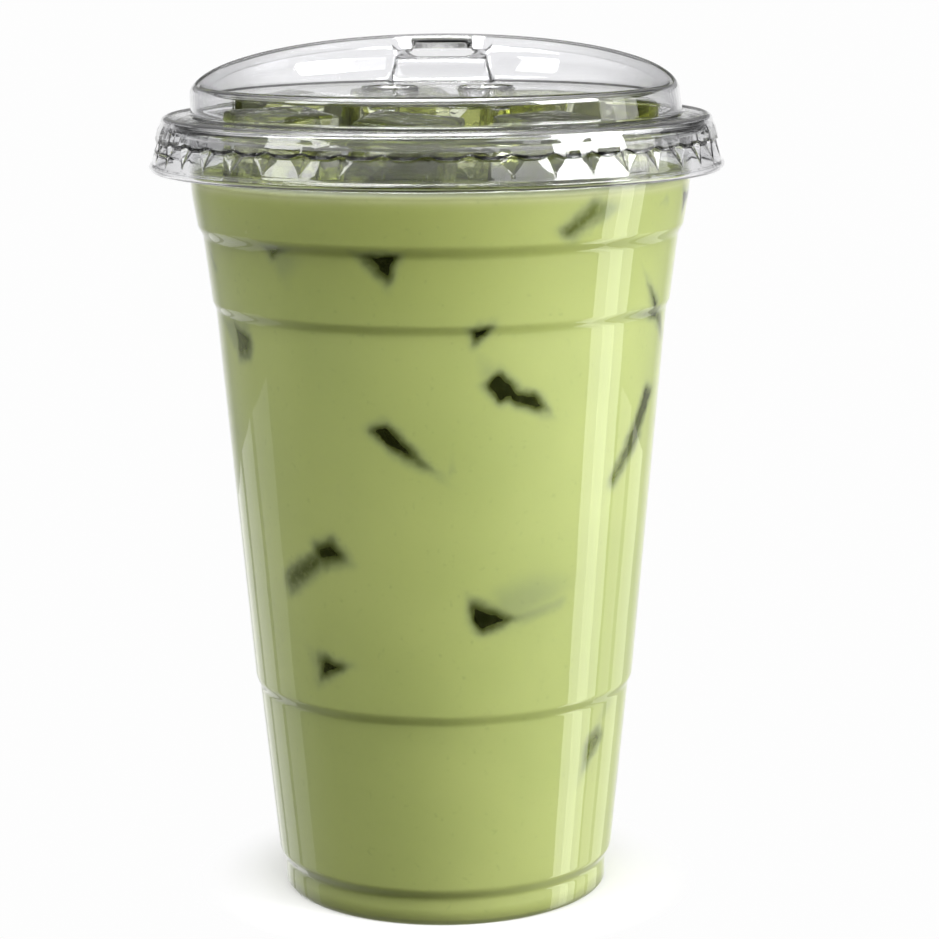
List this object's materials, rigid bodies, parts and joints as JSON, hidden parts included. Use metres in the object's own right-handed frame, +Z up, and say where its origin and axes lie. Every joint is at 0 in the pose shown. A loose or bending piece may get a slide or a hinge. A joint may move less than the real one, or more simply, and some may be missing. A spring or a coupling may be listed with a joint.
{
  "type": "iced matcha latte in a clear cup with a sip lid",
  "caption": "Iced matcha latte in a tall clear plastic cup, ice standing out of the drink under a clear crimped lid with a raised sip side.",
  "frame": {"origin": "middle of the cup's foot, on the surface it stands on", "axes": "+Z up along the cup's axis; -Y towards the low side of the lid, +Y towards the raised sip side"},
  "size_m": [0.1058, 0.1058, 0.1589],
  "materials": {
    "cup": "clear thin PET plastic, glossy",
    "lid": "clear thin PET plastic, glossy, crimped skirt",
    "drink": "milky green drink with fine specks and dark patches where ice lies near the wall",
    "ice": "wet ice tinted green by the drink"
  },
  "bodies": {
    "root": {"cup": "cup", "lid": "lid", "drink": "drink", "ice_1": "ice", "ice_2": "ice", "ice_3": "ice", "ice_4": "ice", "ice_5": "ice", "ice_6": "ice", "ice_7": "ice", "ice_8": "ice"}
  },
  "joints": []
}
